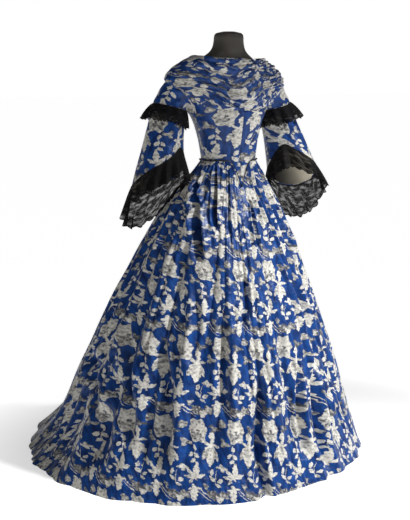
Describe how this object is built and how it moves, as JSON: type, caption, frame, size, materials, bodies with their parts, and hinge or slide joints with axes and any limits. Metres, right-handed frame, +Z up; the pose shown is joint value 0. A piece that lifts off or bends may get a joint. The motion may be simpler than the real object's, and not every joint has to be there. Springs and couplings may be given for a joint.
{
  "type": "day dress on a dress form",
  "caption": "Floor-length day dress with a pointed bodice, pleated bust swag, pagoda sleeves with lace ruffles and a full trained skirt, on a limbless dress form with a stand.",
  "frame": {"origin": "on the floor, at the centre of the stand's foot", "axes": "+Z up, -Y the way the dress faces, +X towards the wearer's left"},
  "size_m": [1.2443, 1.3178, 1.458],
  "materials": {
    "silk": "satin-faced figured silk, royal blue with cream and grey flowers",
    "lace": "open black lace",
    "lining": "plain cream silk",
    "piping": "black silk cord",
    "form": "tight dark jersey with a slight sheen",
    "stand": "dark satin paint"
  },
  "bodies": {
    "root": {"stand_foot": "stand", "stand_pole": "stand", "form_torso": "form", "skirt_front": "silk", "skirt_left_front": "silk", "skirt_left_back": "silk", "skirt_back": "silk", "skirt_right_back": "silk", "skirt_right_front": "silk", "bodice_front_right": "silk", "bodice_front_left": "silk", "bodice_back": "silk", "bodice_swag": "silk", "waist_piping": "piping", "sleeve_upper_right": "silk", "sleeve_lower_right": "silk", "sleeve_lining_right": "lining", "elbow_ruffle_right": "lace", "cuff_lace_right": "lace", "sleeve_upper_left": "silk", "sleeve_lower_left": "silk", "sleeve_lining_left": "lining", "elbow_ruffle_left": "lace", "cuff_lace_left": "lace"}
  },
  "joints": []
}
